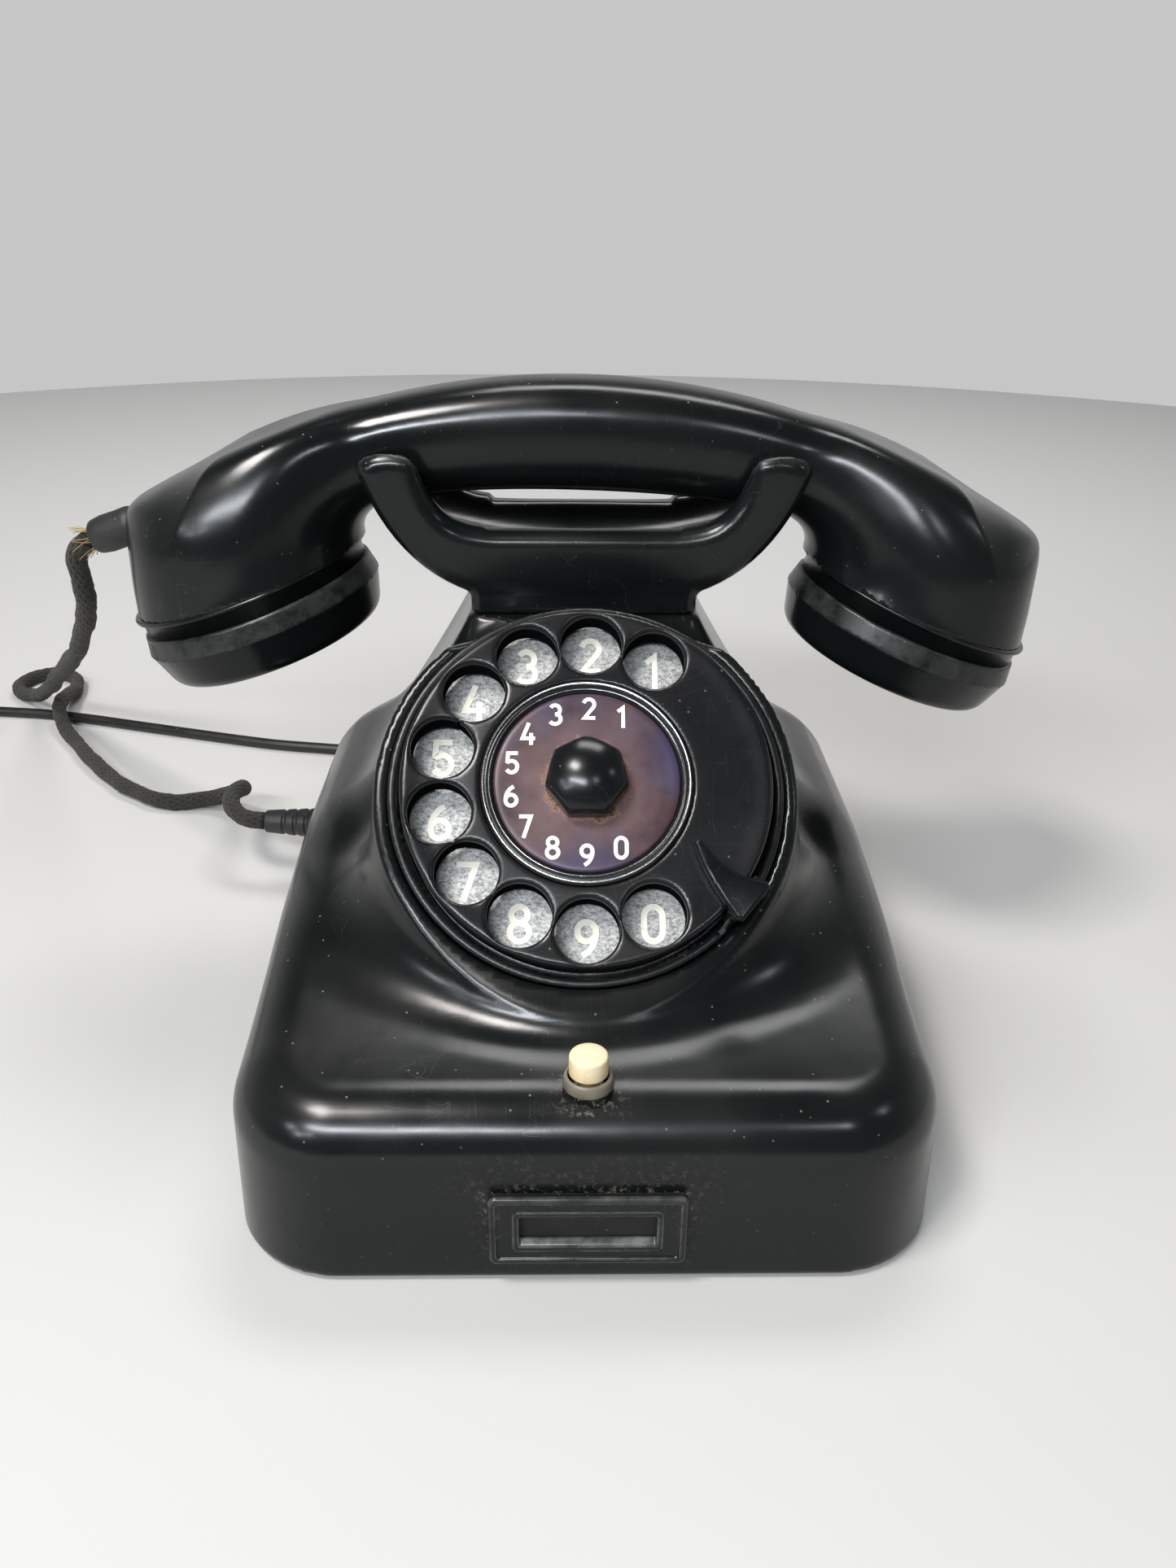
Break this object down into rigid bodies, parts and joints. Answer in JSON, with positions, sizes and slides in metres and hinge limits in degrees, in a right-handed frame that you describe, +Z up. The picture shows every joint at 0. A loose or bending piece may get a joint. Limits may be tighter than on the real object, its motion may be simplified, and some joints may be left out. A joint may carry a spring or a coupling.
{
  "type": "rotary dial desk telephone",
  "caption": "Black Bakelite desk telephone with a rotary finger dial, a fork cradle, a lift-off handset, an earth button and two cords.",
  "frame": {"origin": "on the table, under the middle of the telephone without its cords", "axes": "+X to the user's right along the handset, +Y to the back, +Z up"},
  "size_m": [0.4175, 0.3326, 0.1606],
  "materials": {
    "bakelite": "black Bakelite, polished and worn, with dust and hairline scratches",
    "ivory": "aged cream plastic, yellowed on one side",
    "horn": "grey-beige aged plastic",
    "chrome": "polished, lightly worn",
    "aluminium": "brushed and scratched",
    "label": "brown-purple enamel, worn to orange-brown round the knob, with light digits",
    "steel": "plated",
    "brass": "plain",
    "rubber": "black, slightly dusty",
    "textile": "dark olive-brown braid",
    "winding": "lacquered wire with paper wrap",
    "card": "aged card and fibre board"
  },
  "bodies": {
    "base": {"housing": "bakelite", "label_frame": "bakelite", "dial_rim": "bakelite", "finger_stop": "bakelite", "line_plug": "bakelite", "base_plate": "steel", "base_screw_front_left": "steel", "base_screw_front_right": "steel", "base_screw_back_left": "steel", "base_screw_back_right": "steel", "button_spring": "steel", "mechanism_plate": "steel", "gong_post_left": "steel", "gong_post_right": "steel", "gong_left": "steel", "gong_right": "steel", "ringer_core_left": "steel", "ringer_core_right": "steel", "ringer_yoke": "steel", "foot_front_left": "rubber", "foot_front_right": "rubber", "foot_back_left": "rubber", "foot_back_right": "rubber", "handset_cord_boot": "rubber", "line_cord_boot": "rubber", "line_cord": "rubber", "line_cord_coil": "rubber", "line_cord_tail": "rubber", "label_card": "card", "terminal_block": "card", "button_collar": "horn", "governor_drum": "brass", "hook_switch": "brass", "number_plate": "aluminium", "capacitor": "aluminium", "ringer_coil_left": "winding", "ringer_coil_right": "winding", "induction_coil": "winding", "handset_cord": "textile", "coil_tie": "textile"},
    "dial": {"finger_wheel": "bakelite", "label_ring": "chrome", "centre_disc": "label", "centre_knob": "bakelite", "dial_shaft": "steel", "main_gear": "brass"},
    "governor": {"governor_rotor": "brass"},
    "fork": {"cradle": "bakelite", "switch_plunger": "ivory"},
    "handset": {"handset_shell": "bakelite", "mouth_cap": "bakelite", "ear_cap": "bakelite", "mouth_capsule": "aluminium", "ear_capsule": "aluminium", "handset_sleeve": "rubber"},
    "button": {"earth_button": "ivory"},
    "hammer": {"clapper": "brass"}
  },
  "joints": [
    {"name": "dial_turn", "type": "hinge", "parent": "base", "child": "dial", "pos_m": [0, -0.0314, 0.0859], "axis": [0, -0.7181, 0.6959], "range_deg": [-320, 0], "stiffness_Nm_per_rad": 0.012, "springref_deg": 45.84},
    {"name": "governor_spin", "type": "hinge", "parent": "base", "child": "governor", "pos_m": [0, -0.01052, 0.10744], "axis": [0, -0.7181, 0.6959], "range_deg": [0, 1281]},
    {"name": "handset_lift", "type": "slide", "parent": "base", "child": "handset", "axis": [0, 0, 1], "range_m": [0, 0.06]},
    {"name": "fork_rise", "type": "slide", "parent": "base", "child": "fork", "axis": [0, 0, 1], "range_m": [0, 0.005]},
    {"name": "button_press", "type": "slide", "parent": "base", "child": "button", "axis": [0, 0, -1], "range_m": [0, 0.003], "stiffness_N_per_m": 250, "springref_m": -0.002, "deforming": ["button_spring"]},
    {"name": "clapper_swing", "type": "hinge", "parent": "base", "child": "hammer", "pos_m": [0, 0.0225, 0.017], "axis": [0, 0, 1], "range_deg": [-4, 4]}
  ],
  "couplings": [
    {"joint": "governor_spin", "follows": "dial_turn", "ratio": -4},
    {"joint": "fork_rise", "follows": "handset_lift", "ratio": 0.083333}
  ]
}
